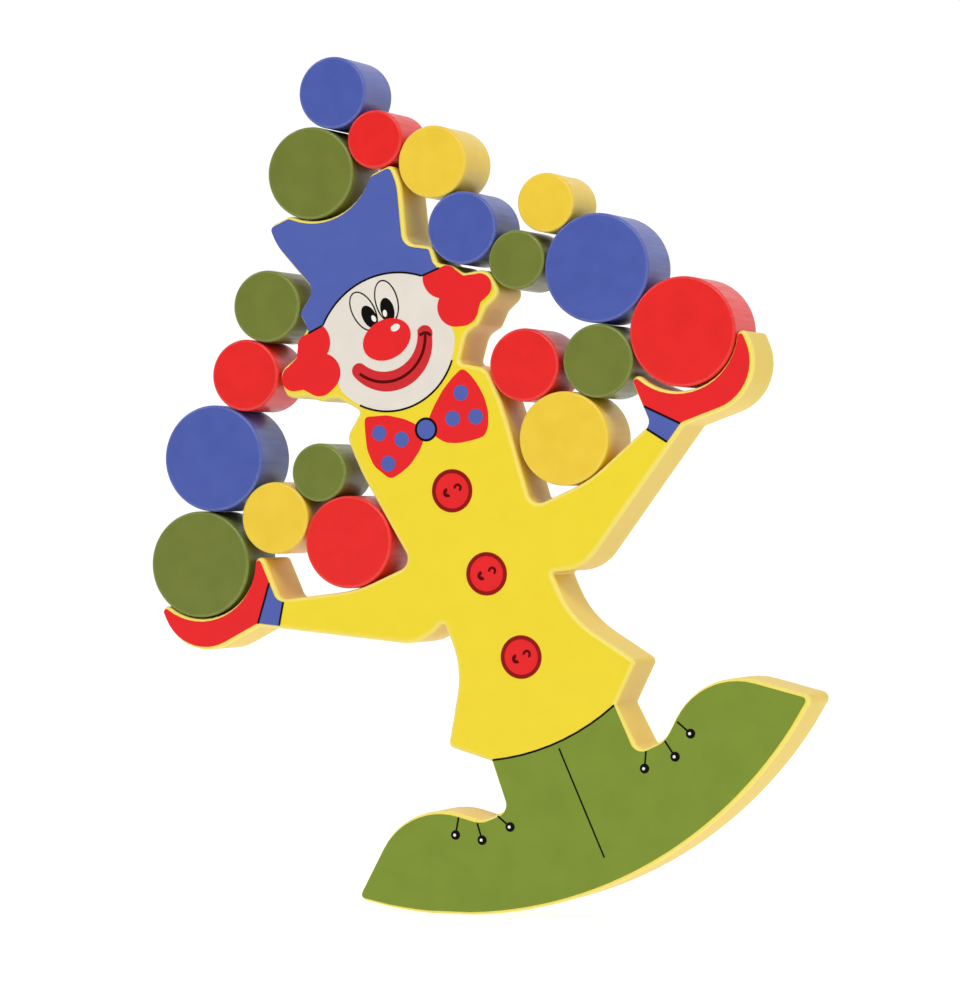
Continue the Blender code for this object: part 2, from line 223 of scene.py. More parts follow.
@dataclass(frozen=True)
class PaintedWood(Finish):
    """Satin enamel sprayed on sanded beech.

    The eye sees one even colour, a little cloudy, with fibres faint in its gloss and its rims paler, part
    rubbed wear and part painted highlight.
    """

    # The rims' pale colour is part wear and part painted highlight.
    worn_and_highlit: str
    grain: Grain
    # Painted shade: a darker, duller colour for the sides.
    side_shade: str | None = None
    roughness: float = 0.38
    gloss_range: float = 0.06
    ior: float = 1.45
    rub_and_highlight: tuple[float, float] = (0.1, 0.3)
    # Millimetres. Real fibres and specks are about a tenth of one wide and wouldn't show in the render, so
    # both are drawn as coarse as they need to show.
    fibre_width: float = 1.1
    fibre_length: float = 22.0
    speck: float = 0.9
    mottle: float = 7.0
    relief: float = 0.02
    bump_strength: float = 0.35

    def mix(self, tree: bpy.types.NodeTree) -> None:
        """Adds the paint's nodes: cloudy colour, painted shade on the sides, rims paler as part wear and part
        painted highlight, then gloss and relief.

        Args:
            tree: The material's node tree.
        """
        place = add_node(tree, "ShaderNodeTexCoord", {}).outputs["Object"]
        across, along = per_metre(self.fibre_width), per_metre(self.fibre_length)
        if self.grain is Grain.ALONG_DOWEL:
            turn, scale = (0.0, 0.0, 0.0), (across, along, across)
        else:
            turn, scale = (0.0, FIGURE_TILT, 0.0), (across, across, along)
        fibres = add_node(tree, "ShaderNodeMapping", {"Vector": place, "Rotation": turn, "Scale": scale})
        streak = add_node(tree, "ShaderNodeTexNoise", {
            "Vector": fibres.outputs[0], "Scale": 1.0, "Detail": 3.0}).outputs[0]
        cloud = add_node(tree, "ShaderNodeTexNoise", {
            "Vector": place, "Scale": per_metre(self.mottle), "Detail": 4.0}).outputs[0]
        grit = add_node(tree, "ShaderNodeTexNoise", {
            "Vector": place, "Scale": per_metre(self.speck), "Detail": 2.0}).outputs[0]
        paint = self.clouded(tree, cloud)
        # Painted shade: the marked sides are mixed towards a darker, duller yellow.
        if self.side_shade is not None:
            side = add_node(tree, "ShaderNodeAttribute", {}, attribute_name="side").outputs["Fac"]
            paint = add_node(tree, "ShaderNodeMix", {
                MIX_SHARE: side, MIX_FIRST: paint, MIX_SECOND: linear(self.side_shade)},
                data_type="RGBA").outputs[MIX_RESULT]
        # Painted highlight and wear: the marked rims are mixed towards a paler colour.
        rim = add_node(tree, "ShaderNodeAttribute", {}, attribute_name="rim").outputs["Fac"]
        pale_rim = add_node(tree, "ShaderNodeMapRange", {
            "Value": grit, "From Min": COLOUR_SPREAD[0], "From Max": COLOUR_SPREAD[1],
            "To Min": self.rub_and_highlight[0], "To Max": self.rub_and_highlight[1]}).outputs[0]
        wear_and_highlight = add_node(tree, "ShaderNodeMath", {0: rim, 1: pale_rim}, operation="MULTIPLY").outputs[0]
        coat = add_node(tree, "ShaderNodeMix", {
            MIX_SHARE: wear_and_highlight, MIX_FIRST: paint, MIX_SECOND: linear(self.worn_and_highlit)},
            data_type="RGBA").outputs[MIX_RESULT]
        gloss = add_node(tree, "ShaderNodeMapRange", {
            "Value": streak, "From Min": GLOSS_SPREAD[0], "From Max": GLOSS_SPREAD[1],
            "To Min": self.roughness - self.gloss_range,
            "To Max": self.roughness + self.gloss_range}).outputs[0]
        height = add_node(tree, "ShaderNodeMath", {0: streak, 1: grit}, operation="ADD").outputs[0]
        bump = add_node(tree, "ShaderNodeBump", {
            "Height": height, "Strength": self.bump_strength, "Distance": self.relief * MM}).outputs[0]
        connect(tree, tree.nodes[SHADER], {
            "Base Color": coat, "Roughness": gloss, "Normal": bump, "IOR": self.ior})


@dataclass(frozen=True)
class ScreenInk(Finish):
    """Opaque ink pressed through a mesh.

    The eye sees flat colour with a crisp edge, duller than the enamel and uneven where the squeegee passed.
    """

    roughness: float = 0.5
    gloss_range: float = 0.05
    ior: float = 1.42
    shine: float = 0.5
    # Millimetres. A real mesh has a pitch of about a tenth of one and wouldn't show in the render, so it is
    # drawn as coarse as it needs to show.
    mesh_pitch: float = 0.5
    cloud: float = 11.0
    relief: float = 0.02
    bump_strength: float = 0.3

    def mix(self, tree: bpy.types.NodeTree) -> None:
        """Adds the ink's nodes: slightly uneven colour and gloss, and the relief of the mesh.

        Args:
            tree: The material's node tree.
        """
        place = add_node(tree, "ShaderNodeTexCoord", {}).outputs["Object"]
        cloud = add_node(tree, "ShaderNodeTexNoise", {
            "Vector": place, "Scale": per_metre(self.cloud), "Detail": 4.0}).outputs[0]
        weave = add_node(tree, "ShaderNodeTexNoise", {
            "Vector": place, "Scale": per_metre(self.mesh_pitch), "Detail": 1.0}).outputs[0]
        gloss = add_node(tree, "ShaderNodeMapRange", {
            "Value": cloud, "From Min": GLOSS_SPREAD[0], "From Max": GLOSS_SPREAD[1],
            "To Min": self.roughness - self.gloss_range,
            "To Max": self.roughness + self.gloss_range}).outputs[0]
        bump = add_node(tree, "ShaderNodeBump", {
            "Height": weave, "Strength": self.bump_strength, "Distance": self.relief * MM}).outputs[0]
        connect(tree, tree.nodes[SHADER], {
            "Base Color": self.clouded(tree, cloud), "Roughness": gloss, "Normal": bump, "IOR": self.ior,
            "Specular IOR Level": self.shine})


# Enamel of the board, whose rims are palest, part rubbed wear and part painted highlight, and whose sides are
# painted a darker, duller yellow than its face as painted shade.
BOARD_YELLOW = PaintedWood(
    "yellow_enamel_board", "F2D927", "F0D725", "FBF0A4", Grain.UP_THE_FIGURE, side_shade="E8C636", roughness=0.42,
    rub_and_highlight=(0.35, 0.6))
# Enamel of the cylinders, by the first word of their names. Their pale rim colours are part wear and part
# painted highlight.
DOWEL_PAINTS = {
    "red": PaintedWood("red_enamel_dowel", "EC1A16", "E41713", "F0706A", Grain.ALONG_DOWEL),
    "blue": PaintedWood("blue_enamel_dowel", "4A5BAC", "4556A6", "8A96CC", Grain.ALONG_DOWEL),
    "green": PaintedWood("green_enamel_dowel", "717C2B", "6B7627", "A3B070", Grain.ALONG_DOWEL),
    "yellow": PaintedWood("yellow_enamel_dowel", "F1CD38", "EDC732", "F4DC78", Grain.ALONG_DOWEL),
}

# Inks of the figure. The dark ones shine less, so that their lines stay dark.
BLUE_INK = ScreenInk("blue_screen_ink", "4E5FAE", "4A5BAA")
RED_INK = ScreenInk("red_screen_ink", "EB1218", "E40F15")
LIP_INK = ScreenInk("dark_red_screen_ink", "D41D25", "CE1921")
WHITE_INK = ScreenInk("white_screen_ink", "E9E0D4", "E4DBCF")
GREEN_INK = ScreenInk("green_screen_ink", "7B9027", "768B24")
BLACK_INK = ScreenInk("black_screen_ink", "0A0807", "0F0C0A", shine=0.1)
GLINT_INK = ScreenInk("glint_screen_ink", "F4EFE6", "EFEAE0")
MAROON_INK = ScreenInk("maroon_screen_ink", "540507", "5C0708", shine=0.1)
RING_INK = ScreenInk("brick_red_screen_ink", "8A0C05", "920E07", shine=0.2)


def add_piece(
        name: str, shape: bmesh.types.BMesh, material: bpy.types.Material, body: str) -> bpy.types.Object:
    """Makes an object of a finished shape and lets it move with a body.

    Args:
        name: The piece's name.
        shape: The shape in the row frame, which is freed.
        material: Its finish.
        body: The body that carries it.

    Returns:
        The new object, with its place in its mesh.
    """
    mesh = bpy.data.meshes.new(name)
    shape.to_mesh(mesh)
    shape.free()
    mesh.materials.append(material)
    piece = bpy.data.objects.new(name, mesh)
    bpy.context.scene.collection.objects.link(piece)
    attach(piece, body)
    LOG.info("built %s", name)
    return piece


def smoothed(piece: bpy.types.Object) -> bpy.types.Object:
    """Shades a piece smoothly, with its wide flat faces kept flat.

    Args:
        piece: The piece.

    Returns:
        The same piece.
    """
    for polygon in piece.data.polygons:
        polygon.use_smooth = True
    evened = piece.modifiers.new("even_normals", "WEIGHTED_NORMAL")
    evened.mode = "FACE_AREA"
    evened.weight = 100
    return piece


@dataclass(frozen=True)
class Arc:
    """A round stretch of a printed outline or line, in millimetres and in degrees from the right."""

    centre: Point
    radius: float
    start: float = 0.0
    end: float = 360.0

    def points(self, steps: int = ARC_STEPS) -> list[Point]:
        """Points along the stretch.

        Args:
            steps: How many pieces it is cut in.

        Returns:
            The points in order.
        """
        found = []
        for index in range(steps + 1):
            angle = math.radians(self.start + (self.end - self.start) * index / steps)
            found.append((self.centre[0] + self.radius * math.cos(angle),
                          self.centre[1] + self.radius * math.sin(angle)))
        return found

    def moved(self, across: float, up: float) -> "Arc":
        """The same stretch in another place."""
        return Arc((self.centre[0] + across, self.centre[1] + up), self.radius, self.start, self.end)


@dataclass(frozen=True)
class Cut:
    """A straight cut across the print, which keeps what lies to the left on the way from start to end."""

    start: Point
    end: Point

    @property
    def aside(self) -> Vector:
        """Direction that points to the kept side."""
        way = Vector(self.end) - Vector(self.start)
        return Vector((-way.y, way.x, 0.0))

    def turned(self) -> "Cut":
        """The same cut that keeps the other side."""
        return Cut(self.end, self.start)


@dataclass
class InkSheet:
    """Flat shapes of one ink in one layer, drawn in the figure's own frame in millimetres."""

    name: str
    ink: ScreenInk
    layer: InkLayer
    board: "ClownBoard"
    # Each layer stands one film higher than the one below it, and all are rooted in the board.
    film: float = 0.025
    root: float = 0.35
    # How near a cut a point counts as on it, and how finely corners, ovals, line ends and curves are cut.
    touch: float = 0.001
    corner_cuts: int = 4
    disc_sides: int = 48
    line_end_share: float = 0.45
    fewest_steps: int = 6
    step_angle: float = 4.0
    shapes: bmesh.types.BMesh = field(default_factory=bmesh.new)

    def cut_out(self, cuts: tuple[Cut, ...], inside: Point) -> None:
        """Adds the part of the board's whole printed side that some straight cuts leave.

        Args:
            cuts: The cuts.
            inside: A point of the part to keep, where the cuts leave more than one.
        """
        sheet = self.shapes
        whole = sheet.faces.new([sheet.verts.new((across, up, 0.0)) for across, up in self.board.face_loop])
        whole.normal_update()
        for cut in cuts:
            bmesh.ops.bisect_plane(
                sheet, geom=[*sheet.verts, *sheet.edges, *sheet.faces], dist=self.touch,
                plane_co=Vector(cut.start).to_3d(), plane_no=cut.aside, clear_inner=True)
        goal = Vector(inside).to_3d()
        kept = min(sheet.faces, key=lambda face: (face.calc_center_median() - goal).length)
        spare = [face for face in sheet.faces if face is not kept]
        bmesh.ops.delete(sheet, geom=spare, context="FACES")

    def patch(self, points: list[Point], rounding: float = 0.0) -> None:
        """Adds an area given by its outline.

        Args:
            points: Corners in order.
            rounding: How far back from each corner its rounding starts.
        """
        corners = [self.shapes.verts.new((across, up, 0.0)) for across, up in points]
        self.shapes.faces.new(corners)
        if rounding > 0:
            bmesh.ops.bevel(
                self.shapes, geom=corners, offset=rounding, offset_type="OFFSET", affect="VERTICES",
                segments=self.corner_cuts, profile=0.5, material=-1, clamp_overlap=True)

    def disc(self, centre: Point, half_width: float, half_height: float, turn: float = 0.0) -> None:
        """Adds a round or oval area.

        Args:
            centre: Its middle.
            half_width: Half its size across.
            half_height: Half its size upwards.
            turn: Degrees that it leans to the left.
        """
        place = Matrix.Translation((centre[0], centre[1], 0.0)) @ Matrix.Rotation(math.radians(turn), 4, "Z")
        place = place @ Matrix.Diagonal((half_width, half_height, 1.0, 1.0))
        bmesh.ops.create_circle(
            self.shapes, cap_ends=True, segments=self.disc_sides, radius=1.0, matrix=place)

    def band(self, arc: Arc, width: float) -> None:
        """Adds a curved line of even width.

        Args:
            arc: The middle of the line.
            width: Its width.
        """
        middle = Vector(arc.centre).to_3d()
        outward = Vector((math.cos(math.radians(arc.start)), math.sin(math.radians(arc.start)), 0.0))
        reaches = (arc.radius - width / 2, arc.radius + width / 2)
        ends = [self.shapes.verts.new(middle + outward * reach) for reach in reaches]
        edge = self.shapes.edges.new(ends)
        turn = arc.end - arc.start
        bmesh.ops.spin(
            self.shapes, geom=ends + [edge], cent=middle, axis=(0.0, 0.0, 1.0), angle=math.radians(turn),
            steps=max(self.fewest_steps, round(abs(turn) / self.step_angle)), use_merge=abs(turn) >= 360)

    def stroke(self, start: Point, end: Point, width: float) -> None:
        """Adds a straight line with round ends.

        Args:
            start: Where it starts.
            end: Where it ends.
            width: Its width.
        """
        first, last = Vector(start), Vector(end)
        aside = (last - first).orthogonal().normalized() * width / 2
        corners = [first + aside, first - aside, last - aside, last + aside]
        self.patch([(corner.x, corner.y) for corner in corners], rounding=width * self.line_end_share)

    def printed(self) -> bpy.types.Object:
        """Gives the shapes the thickness of their ink and lays them on the board.

        Returns:
            The printed piece.
        """
        faces = list(self.shapes.faces)
        grown = bmesh.ops.extrude_face_region(self.shapes, geom=faces)
        top = [item for item in grown["geom"] if isinstance(item, bmesh.types.BMVert)]
        height = self.root + self.film * self.layer.value
        bmesh.ops.translate(self.shapes, vec=(0.0, 0.0, height), verts=top)
        foot = (0.0, 0.0, self.board.face - self.root)
        bmesh.ops.translate(self.shapes, vec=foot, verts=list(self.shapes.verts))
        bmesh.ops.transform(self.shapes, matrix=FIGURE_PLACE, verts=list(self.shapes.verts))
        bmesh.ops.recalc_face_normals(self.shapes, faces=list(self.shapes.faces))
        return add_piece(self.name, self.shapes, self.ink.material(), FIGURE_NODE)


def run_where(loop: list[Point], test: Callable[[Point], bool]) -> list[Point]:
    """Finds the unbroken run of a closed loop that passes a test.

    Args:
        loop: Points of the loop in order.
        test: Says whether a point belongs to the run.

    Returns:
        The run's points in order.
    """
    start = next(index for index in range(len(loop)) if test(loop[index]) and not test(loop[index - 1]))
    run = []
    for step in range(len(loop)):
        point = loop[(start + step) % len(loop)]
        if not test(point):
            break
        run.append(point)
    return run


def closed_by(run: list[Point], path: list[Point]) -> list[Point]:
    """Closes a run of the board's edge with a path of its own.

    Args:
        run: Points along the edge.
        path: Points of the path, from either end.

    Returns:
        The closed outline.
    """
    last = Vector(run[-1])
    if (Vector(path[-1]) - last).length < (Vector(path[0]) - last).length:
        path = path[::-1]
    return run + path


def round_end(first: Point, last: Point) -> list[Point]:
    """Points of the half circle that closes a band, to the right on the way from first to last.

    Args:
        first: Where the half circle starts.
        last: Where it ends.

    Returns:
        The points between the two ends.
    """
    middle = (Vector(first) + Vector(last)) / 2
    spoke = Vector(first) - middle
    start = math.degrees(math.atan2(spoke.y, spoke.x))
    return Arc((middle.x, middle.y), spoke.length, start, start + 180.0).points(END_STEPS)[1:-1]


@dataclass
class ClownBoard:
    """The figure's board, cut with rounded edges, with its face set back by the height of the inks."""

    recess: float = 0.2
    half_depth: float = 12.0
    edge_round: float = 1.5
    sole_cuts: int = 2
    # The print runs a little way over the rounded edge and is set to the viewer's left, so that a bare yellow
    # rim shows along the right edges and hardly any along the left ones.
    overlap: float = 0.55
    print_shift: Point = (-0.41, 0.18)
    # How far from the board's mid-plane the pale rim, part wear and part painted highlight, has faded out and
    # the sides' painted shade starts, and the rim's share where the rounding starts.
    pale_rim_to: float = 9.7
    faded_pale_rim: float = 0.7
    # Tolerances in millimetres, and in degrees for faces that make one flat.
    merge: float = 0.01
    margin: float = 0.1
    sole_slack: float = 0.05
    flat_angle: float = 0.2
    face_loop: list[Point] = field(default_factory=list)

    @property
    def face(self) -> float:
        """Height of the board's face towards the viewer."""
        return self.half_depth - self.recess

    def build(self) -> bpy.types.Object:
        """Makes the board from its solid and keeps the outline of its printed side.

        Returns:
            The board.
        """
        shape = bmesh.new()
        shape.from_mesh(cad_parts[FIGURE_NODE].data)
        bmesh.ops.remove_doubles(shape, verts=list(shape.verts), dist=self.merge * MM)
        bmesh.ops.dissolve_limit(
            shape, angle_limit=math.radians(self.flat_angle), verts=list(shape.verts),
            edges=list(shape.edges))
        self.round_sole(shape)
        front = min(shape.faces, key=lambda face: face.normal.y * face.calc_area())
        bmesh.ops.translate(shape, vec=(0.0, self.recess * MM, 0.0), verts=list(front.verts))
        self.face_loop = self.printable(front)
        self.mark_rims_and_sides(shape)
        board = add_piece("clown_board", shape, BOARD_YELLOW.material(), FIGURE_NODE)
        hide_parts(FIGURE_NODE)
        return smoothed(board)

    @staticmethod
    def ring(vertex: bmesh.types.BMVert) -> float:
        """Depth of a point in millimetres, to a hundredth, which the points of one ring of the sole share."""
        return round(vertex.co.y / MM, 2)

    def round_sole(self, shape: bmesh.types.BMesh) -> None:
        """Rounds the sole between the corners of its solid, all but the stretch that it stands on.

        Args:
            shape: The board in the row frame.
        """
        middle = FIGURE_PLACE @ Vector((0.0, SOLE_RADIUS, 0.0))
        no_depth = Vector((1.0, 0.0, 1.0))
        spokes = {vertex: (vertex.co - middle) * no_depth for vertex in shape.verts}
        # The corners of the stretch that it stands on give each ring's radius.
        reaches: dict[float, float] = {}
        for vertex, spoke in spokes.items():
            if spoke.angle(DOWN) < 2 * HALF_FLAT:
                reaches[self.ring(vertex)] = max(spoke.length, reaches.get(self.ring(vertex), 0.0))
        along = []
        for edge in shape.edges:
            rings = {self.ring(vertex) for vertex in edge.verts}
            gaps = [abs(spokes[vertex].length - reaches[self.ring(vertex)]) for vertex in edge.verts]
            halfway = spokes[edge.verts[0]] + spokes[edge.verts[1]]
            standing = halfway.angle(DOWN) < HALF_FLAT
            if len(rings) == 1 and max(gaps) < self.sole_slack * MM and not standing:
                along.append(edge)
        cut = bmesh.ops.subdivide_edges(shape, edges=along, cuts=self.sole_cuts, use_grid_fill=True)
        for vertex in cut["geom_inner"]:
            if isinstance(vertex, bmesh.types.BMVert):
                spoke = (vertex.co - middle) * no_depth
                vertex.co += spoke.normalized() * (reaches[self.ring(vertex)] - spoke.length)

    def mark_rims_and_sides(self, shape: bmesh.types.BMesh) -> None:
        """Marks the sides for their painted shade, and the rounded edges for a pale rim, part wear and part
        painted highlight, most in the middle of the rounding.

        Args:
            shape: The board, which gets a loop where the pale rim ends.
        """
        for end in (-self.pale_rim_to, self.pale_rim_to):
            bmesh.ops.bisect_plane(
                shape, geom=[*shape.verts, *shape.edges, *shape.faces], dist=self.merge * MM,
                plane_co=(0.0, end * MM, 0.0), plane_no=(0.0, 1.0, 0.0))
        # rim marks a pale band, part wear and part painted highlight; side marks the sides for painted shade.
        rim = shape.verts.layers.float.new("rim")
        side = shape.verts.layers.float.new("side")
        for vertex in shape.verts:
            depth = abs(vertex.co.y) / MM
            if self.pale_rim_to + self.margin < depth < self.face - self.margin:
                on_round = depth > self.half_depth - self.edge_round + self.margin
                vertex[rim] = 1.0 if on_round else self.faded_pale_rim
            vertex[side] = 1.0 if depth < self.pale_rim_to + self.margin else 0.0

    def printable(self, front: bmesh.types.BMFace) -> list[Point]:
        """Outline within which the inks are printed.

        Args:
            front: The board's front face.

        Returns:
            The outline in the figure's own frame.
        """
        sheet = bmesh.new()
        into_figure = FIGURE_PLACE.inverted()
        corners = [sheet.verts.new((into_figure @ vertex.co).to_2d().to_3d()) for vertex in front.verts]
        area = sheet.faces.new(corners)
        area.normal_update()
        bmesh.ops.inset_individual(sheet, faces=[area], thickness=-self.overlap, use_even_offset=True)
        aside, up = self.print_shift
        loop = [(vertex.co.x + aside, vertex.co.y + up) for vertex in area.verts]
        sheet.free()
        return loop


@dataclass
class HeadPrint:
    """Hat, hair and the ground of the face, printed on the board's head."""

    board: ClownBoard
    middle: float = -0.3
    brim_arc: Arc = Arc((-0.4, 187.9), 29.5, 48.6, 131.4)
    brim_side: float = 209.8
    brim_out: float = 25.3
    brim_overhang: float = 0.6
    hat_foot: float = 211.2
    chin_arc: Arc = Arc((-0.5, 196.2), 24.3, 222.0, 318.0)
    face_arc: Arc = Arc((-0.5, 196.2), 24.1, 203.0, 337.0)
    temples: tuple[Point, Point] = ((22.6, 207.5), (-23.2, 207.5))
    line: float = 0.65
    locks: tuple[Arc, ...] = (
        Arc((26.1, 206.6), 7.2, 155.0, 232.0), Arc((26.3, 195.5), 6.6, 130.0, 250.0),
        Arc((28.0, 194.2), 5.9, 250.0, 330.0))
    outer_lock: Arc = Arc((36.6, 198.2), 4.3, 285.0, 445.0)
    top_lock: Arc = Arc((27.4, 206.2), 3.6, 15.0, 80.0)
    hair_notches: tuple[Point, Point] = ((34.8, 193.2), (32.8, 203.9))

    def brim(self) -> list[Point]:
        """The hat's lower edge from right to left."""
        return [(self.brim_out, self.brim_side), *self.brim_arc.points(), (-self.brim_out, self.brim_side)]

    def hair(self, side: int) -> list[Point]:
        """Outline of the round locks at one side of the face, from the brim down and back up to it.

        Args:
            side: 1 for the viewer's right, -1 for the left.

        Returns:
            The points in order.
        """
        low_notch, high_notch = self.hair_notches
        edge = [point for lock in self.locks for point in lock.points()]
        edge += [low_notch, *self.outer_lock.points(), high_notch, *self.top_lock.points()]
        edge.append((self.brim_out, self.brim_side))
        return [(self.middle + side * across, up) for across, up in edge]

    def build(self) -> None:
        """Prints the face, then the hat and hair over its edge, then the lines."""
        face = InkSheet("face_print", WHITE_INK, InkLayer.GROUND, self.board)
        right_temple, left_temple = self.temples
        forehead = self.brim_arc.points()
        face.patch([*self.face_arc.points(LONG_ARC_STEPS), right_temple, *forehead, left_temple])
        face.printed()
        hat = InkSheet("hat_print", BLUE_INK, InkLayer.COVER, self.board)
        crown = run_where(self.board.face_loop, lambda point: point[1] > self.hat_foot)
        hat.patch(closed_by(crown, self.brim()))
        hat.printed()
        for side, name in ((-1, "left_hair_print"), (1, "right_hair_print")):
            hair = InkSheet(name, RED_INK, InkLayer.COVER, self.board)
            hair.patch(self.hair(side))
            hair.printed()
        lines = InkSheet("head_lines_print", BLACK_INK, InkLayer.LINE, self.board)
        lines.band(self.brim_arc, self.line)
        for side, inner in ((-1, forehead[-1]), (1, forehead[0])):
            lines.stroke(inner, (side * (self.brim_out + self.brim_overhang), self.brim_side), self.line)
        lines.band(self.chin_arc, self.line)
        lines.printed()


@dataclass
class FacePrint:
    """Eyes, nose and mouth of the clown, with the degrees that each oval leans."""

    board: ClownBoard
    eyes: tuple[tuple[Point, float], ...] = (((-4.6, 208.1), 7.0), ((4.3, 207.7), -7.0))
    eye_half: Point = (3.9, 7.1)
    eye_line: float = 0.5
    pupils: tuple[tuple[Point, float], ...] = (((-3.4, 205.5), 7.0), ((3.4, 204.9), -7.0))
    pupil_half: Point = (2.4, 4.15)
    eye_glints: tuple[tuple[Point, float], ...] = (((-2.2, 204.3), 6.0), ((2.15, 204.2), -14.0))
    eye_glint_half: Point = (0.74, 1.2)
    nose_centre: Point = (-0.8, 196.0)
    nose_half: Point = (8.9, 6.65)
    nose_glint: Point = (3.6, 198.3)
    nose_glint_half: Point = (1.7, 1.15)
    lower_lip: Arc = Arc((-1.2, 195.0), 16.3, 200.5, 342.5)
    upper_lip: Arc = Arc((-1.2, 197.6), 12.05, 209.0, 343.0)
    mouth_arc: Arc = Arc((-1.5, 197.0), 14.8, 210.0, 341.0)
    dimple_arc: Arc = Arc((11.65, 190.05), 2.4, 12.0, 119.0)
    mouth_line: float = 1.0

    def lips(self) -> list[Point]:
        """Outline of the mouth: two arcs with round ends.

        Returns:
            The points in order.
        """
        lower = self.lower_lip.points(LONG_ARC_STEPS)
        upper = self.upper_lip.points(LONG_ARC_STEPS)[::-1]
        return lower + round_end(lower[-1], upper[0]) + upper + round_end(upper[-1], lower[0])

    def build(self) -> None:
        """Prints the features in their order."""
        mouth = InkSheet("lips_print", LIP_INK, InkLayer.COVER, self.board)
        mouth.patch(self.lips())
        mouth.printed()
        crease = InkSheet("mouth_line_print", MAROON_INK, InkLayer.LINE, self.board)
        crease.band(self.mouth_arc, self.mouth_line)
        crease.printed()
        dimple = InkSheet("dimple_print", MAROON_INK, InkLayer.EYE, self.board)
        dimple.band(self.dimple_arc, self.mouth_line)
        dimple.printed()
        outlines = InkSheet("eye_lines_print", BLACK_INK, InkLayer.LINE, self.board)
        whites = InkSheet("eye_whites_print", WHITE_INK, InkLayer.EYE, self.board)
        for centre, lean in self.eyes:
            outlines.disc(centre, *(half + self.eye_line / 2 for half in self.eye_half), lean)
            whites.disc(centre, *(half - self.eye_line / 2 for half in self.eye_half), lean)
        outlines.printed()
        whites.printed()
        pupils = InkSheet("pupils_print", BLACK_INK, InkLayer.PUPIL, self.board)
        for centre, lean in self.pupils:
            pupils.disc(centre, *self.pupil_half, lean)
        pupils.printed()
        nose = InkSheet("nose_print", RED_INK, InkLayer.NOSE, self.board)
        nose.disc(self.nose_centre, *self.nose_half)
        nose.printed()
        glints = InkSheet("glints_print", GLINT_INK, InkLayer.GLINT, self.board)
        for centre, lean in self.eye_glints:
            glints.disc(centre, *self.eye_glint_half, lean)
        glints.disc(self.nose_glint, *self.nose_glint_half)
        glints.printed()


@dataclass
class CoatPrint:
    """Bow tie and buttons on the bare yellow coat."""

    board: ClownBoard
    left_wing: tuple[Point, ...] = (
        (-18.7, 175.7), (-11.0, 172.9), (-5.7, 169.1), (-2.4, 165.4), (-2.2, 160.2), (-4.9, 157.4),
        (-10.2, 154.3), (-15.5, 153.0), (-18.7, 153.0), (-22.2, 159.3), (-22.3, 165.2), (-20.3, 171.6))
    right_wing: tuple[Point, ...] = (
        (19.7, 176.1), (15.1, 174.6), (10.2, 172.1), (5.5, 168.7), (1.8, 165.4), (1.4, 160.0), (4.2, 156.0),
        (8.3, 153.9), (13.9, 152.6), (18.0, 152.2), (20.6, 155.0), (22.5, 159.6), (23.0, 164.4),
        (22.5, 169.4), (21.3, 173.6))
    wing_round: float = 1.4
    dots: tuple[Point, ...] = (
        (-16.0, 168.6), (-9.5, 163.4), (-17.2, 158.0), (16.0, 168.8), (9.9, 162.2), (17.6, 159.4))
    dot_radius: float = 2.6
    knot: Point = (-0.2, 162.8)
    knot_radius: float = 3.6
    knot_line: float = 0.8
    buttons: tuple[Point, ...] = ((0.0, 140.4), (0.0, 110.4), (0.0, 80.5))
    button_radius: float = 7.2
    ring_radius: float = 6.5
    ring_width: float = 1.3
    # Each button's two holes, as curved lines of their own widths about the button's middle.
    left_hole: tuple[Arc, float] = (Arc((-1.8, 0.1), 0.95, 70.0, 290.0), 1.15)
    right_hole: tuple[Arc, float] = (Arc((2.2, 0.1), 1.05, -80.0, 170.0), 0.8)

    def build(self) -> None:
        """Prints the bow tie, then the buttons."""
        bow = InkSheet("bow_tie_print", RED_INK, InkLayer.GROUND, self.board)
        for wing in (self.left_wing, self.right_wing):
            bow.patch(list(wing), rounding=self.wing_round)
        bow.printed()
        dots = InkSheet("bow_dots_print", BLUE_INK, InkLayer.COVER, self.board)
        for centre in self.dots:
            dots.disc(centre, self.dot_radius, self.dot_radius)
        dots.disc(self.knot, self.knot_radius, self.knot_radius)
        dots.printed()
        ring = InkSheet("bow_knot_line_print", BLACK_INK, InkLayer.LINE, self.board)
        ring.band(Arc(self.knot, self.knot_radius), self.knot_line)
        ring.printed()
        buttons = InkSheet("buttons_print", RED_INK, InkLayer.GROUND, self.board)
        rings = InkSheet("button_rings_print", RING_INK, InkLayer.LINE, self.board)
        holes = InkSheet("button_holes_print", MAROON_INK, InkLayer.LINE, self.board)
        for button in self.buttons:
            buttons.disc(button, self.button_radius, self.button_radius)
            rings.band(Arc(button, self.ring_radius), self.ring_width)
            for hole, width in (self.left_hole, self.right_hole):
                holes.band(hole.moved(*button), width)
        buttons.printed()
        rings.printed()
        holes.printed()


@dataclass(frozen=True)
class Hand:
    """Where the print of one hand ends: between glove and cuff, and between cuff and sleeve."""

    name: str
    glove_cut: Cut
    sleeve_cut: Cut
    palm: Point


HANDS = (
    Hand("left", Cut((-82.1, 128.5), (-74.6, 137.2)), Cut((-74.8, 125.5), (-70.0, 132.4)), (-95.0, 140.0)),
    Hand("right", Cut((73.4, 137.0), (80.8, 128.6)), Cut((69.9, 131.5), (74.3, 125.1)), (95.0, 140.0)),
)


